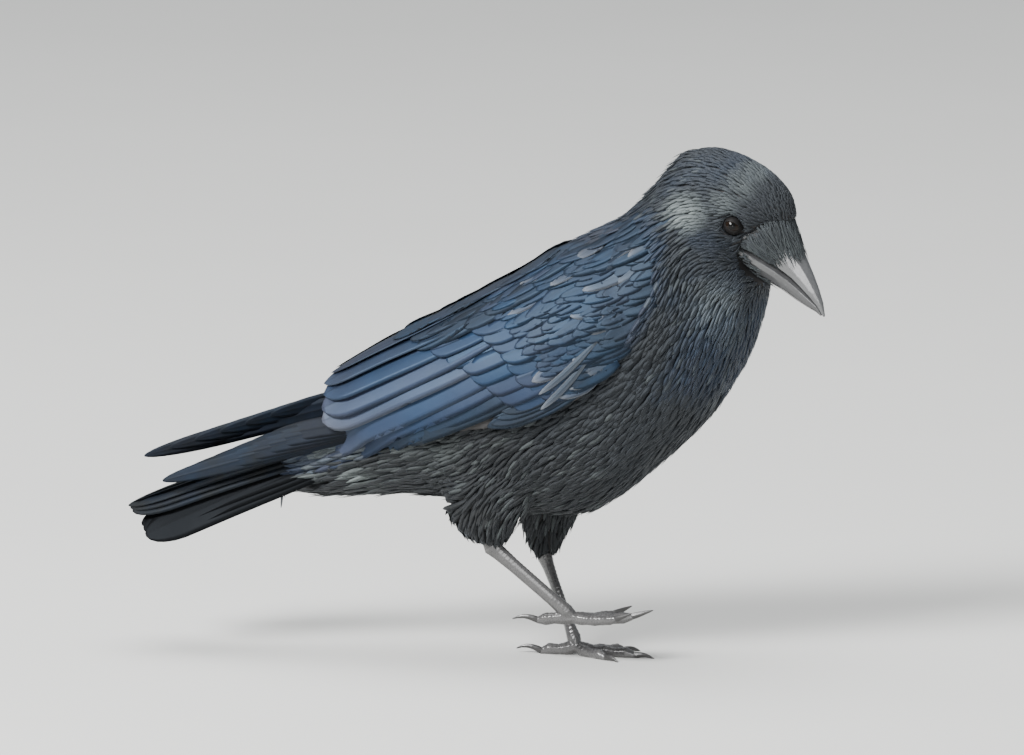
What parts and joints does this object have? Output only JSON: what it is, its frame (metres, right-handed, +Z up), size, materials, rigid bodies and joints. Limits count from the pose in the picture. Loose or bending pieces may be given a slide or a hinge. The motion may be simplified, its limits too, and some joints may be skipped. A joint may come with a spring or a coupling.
{
  "type": "carrion crow",
  "caption": "Life-size still model of a black crow in mid-stride, one foot down and one lifted, head bent to look at the ground.",
  "frame": {"origin": "on the floor, under the middle of the model's box", "axes": "+X forward from tail to bill, +Y to the bird's left, +Z up"},
  "size_m": [0.3956, 0.1124, 0.2895],
  "materials": {
    "body_feathers": "matt black plumage with a faint blue sheen",
    "flight_feathers": "glossy blue-black wing and tail feathers",
    "bill": "satin black horn",
    "eye": "wet, very dark brown",
    "leg_skin": "scaled dark grey skin",
    "claw": "polished black horn"
  },
  "bodies": {
    "root": {"head": "body_feathers", "neck": "body_feathers", "breast": "body_feathers", "belly": "body_feathers", "rump": "body_feathers", "upper_mandible": "bill", "lower_mandible": "bill", "right_eye": "eye", "left_eye": "eye", "tail_right": "flight_feathers", "tail_left": "flight_feathers", "right_wing_coverts": "flight_feathers", "right_wing_secondaries": "flight_feathers", "right_wing_primaries": "flight_feathers", "left_wing_coverts": "flight_feathers", "left_wing_secondaries": "flight_feathers", "left_wing_primaries": "flight_feathers", "right_thigh": "body_feathers", "right_tarsus": "leg_skin", "right_third_toe": "leg_skin", "right_second_toe": "leg_skin", "right_fourth_toe": "leg_skin", "right_hind_toe": "leg_skin", "right_third_claw": "claw", "right_second_claw": "claw", "right_fourth_claw": "claw", "right_hind_claw": "claw", "left_thigh": "body_feathers", "left_tarsus": "leg_skin", "left_third_toe": "leg_skin", "left_second_toe": "leg_skin", "left_fourth_toe": "leg_skin", "left_hind_toe": "leg_skin", "left_third_claw": "claw", "left_second_claw": "claw", "left_fourth_claw": "claw", "left_hind_claw": "claw"}
  },
  "joints": []
}
